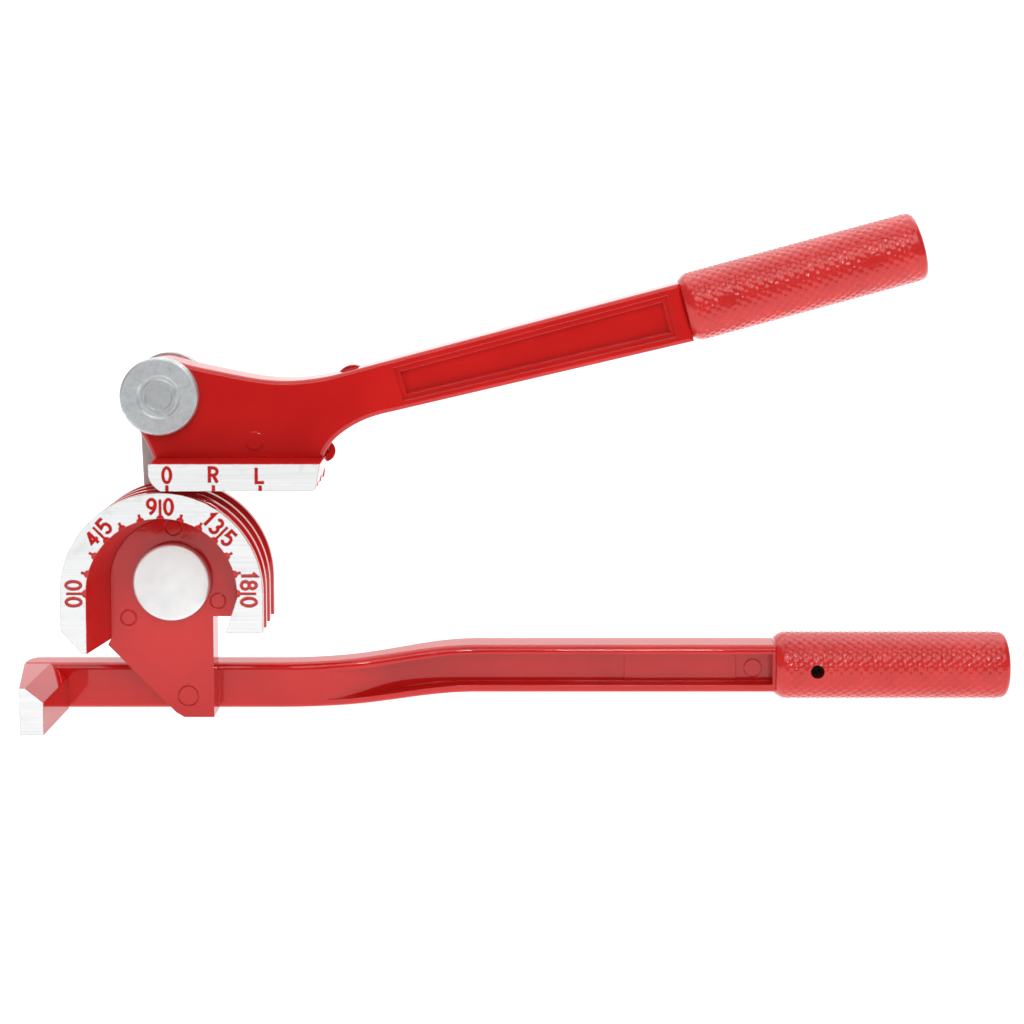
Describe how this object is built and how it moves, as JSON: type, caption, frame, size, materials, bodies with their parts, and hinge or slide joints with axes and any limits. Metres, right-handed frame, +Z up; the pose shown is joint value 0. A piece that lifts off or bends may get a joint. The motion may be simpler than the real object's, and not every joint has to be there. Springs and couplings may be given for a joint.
{
  "type": "manual tube bender",
  "caption": "Hand tube bender with a grooved half-round former and dial, tube hook, steel link and a follower shoe on the long upper handle.",
  "frame": {"origin": "middle of the bounding box on the surface that the tool stands on", "axes": "+X along the lower handle to its grip end, +Y from the machined dial face to the back, +Z up"},
  "size_m": [0.3666, 0.067, 0.1831],
  "materials": {
    "red_enamel": "die cast, glossy red enamel, milled faces bare",
    "red_grip": "dimpled red plastic sleeve",
    "steel_plate": "zinc plated flat bar",
    "zinc_pin": "bright satin zinc",
    "galvanised_pin": "mottled galvanised",
    "zinc_washer": "zinc plated"
  },
  "bodies": {
    "lower_handle": {"lower_handle_casting": "red_enamel", "bending_former": "red_enamel", "tube_hook": "red_enamel", "lower_grip": "red_grip"},
    "link": {"link_plate": "steel_plate", "centre_pin": "zinc_pin", "shoe_pin": "galvanised_pin", "centre_spring_washer": "zinc_washer", "centre_spacer_washer": "zinc_washer", "centre_back_washer": "zinc_washer", "shoe_spring_washer": "zinc_washer", "shoe_spacer_washer": "zinc_washer", "shoe_back_washer": "zinc_washer"},
    "upper_handle": {"upper_handle_casting": "red_enamel", "follower_shoe": "red_enamel", "upper_grip": "red_grip"}
  },
  "joints": [
    {"name": "link_swing", "type": "hinge", "parent": "lower_handle", "child": "link", "pos_m": [-0.12575, -0.03352, 0.0504], "axis": [0, 1, 0], "range_deg": [-90, 90]},
    {"name": "handle_pivot", "type": "hinge", "parent": "link", "child": "upper_handle", "pos_m": [-0.12835, -0.03352, 0.1182], "axis": [0, -1, 0], "range_deg": [0, 100]}
  ]
}
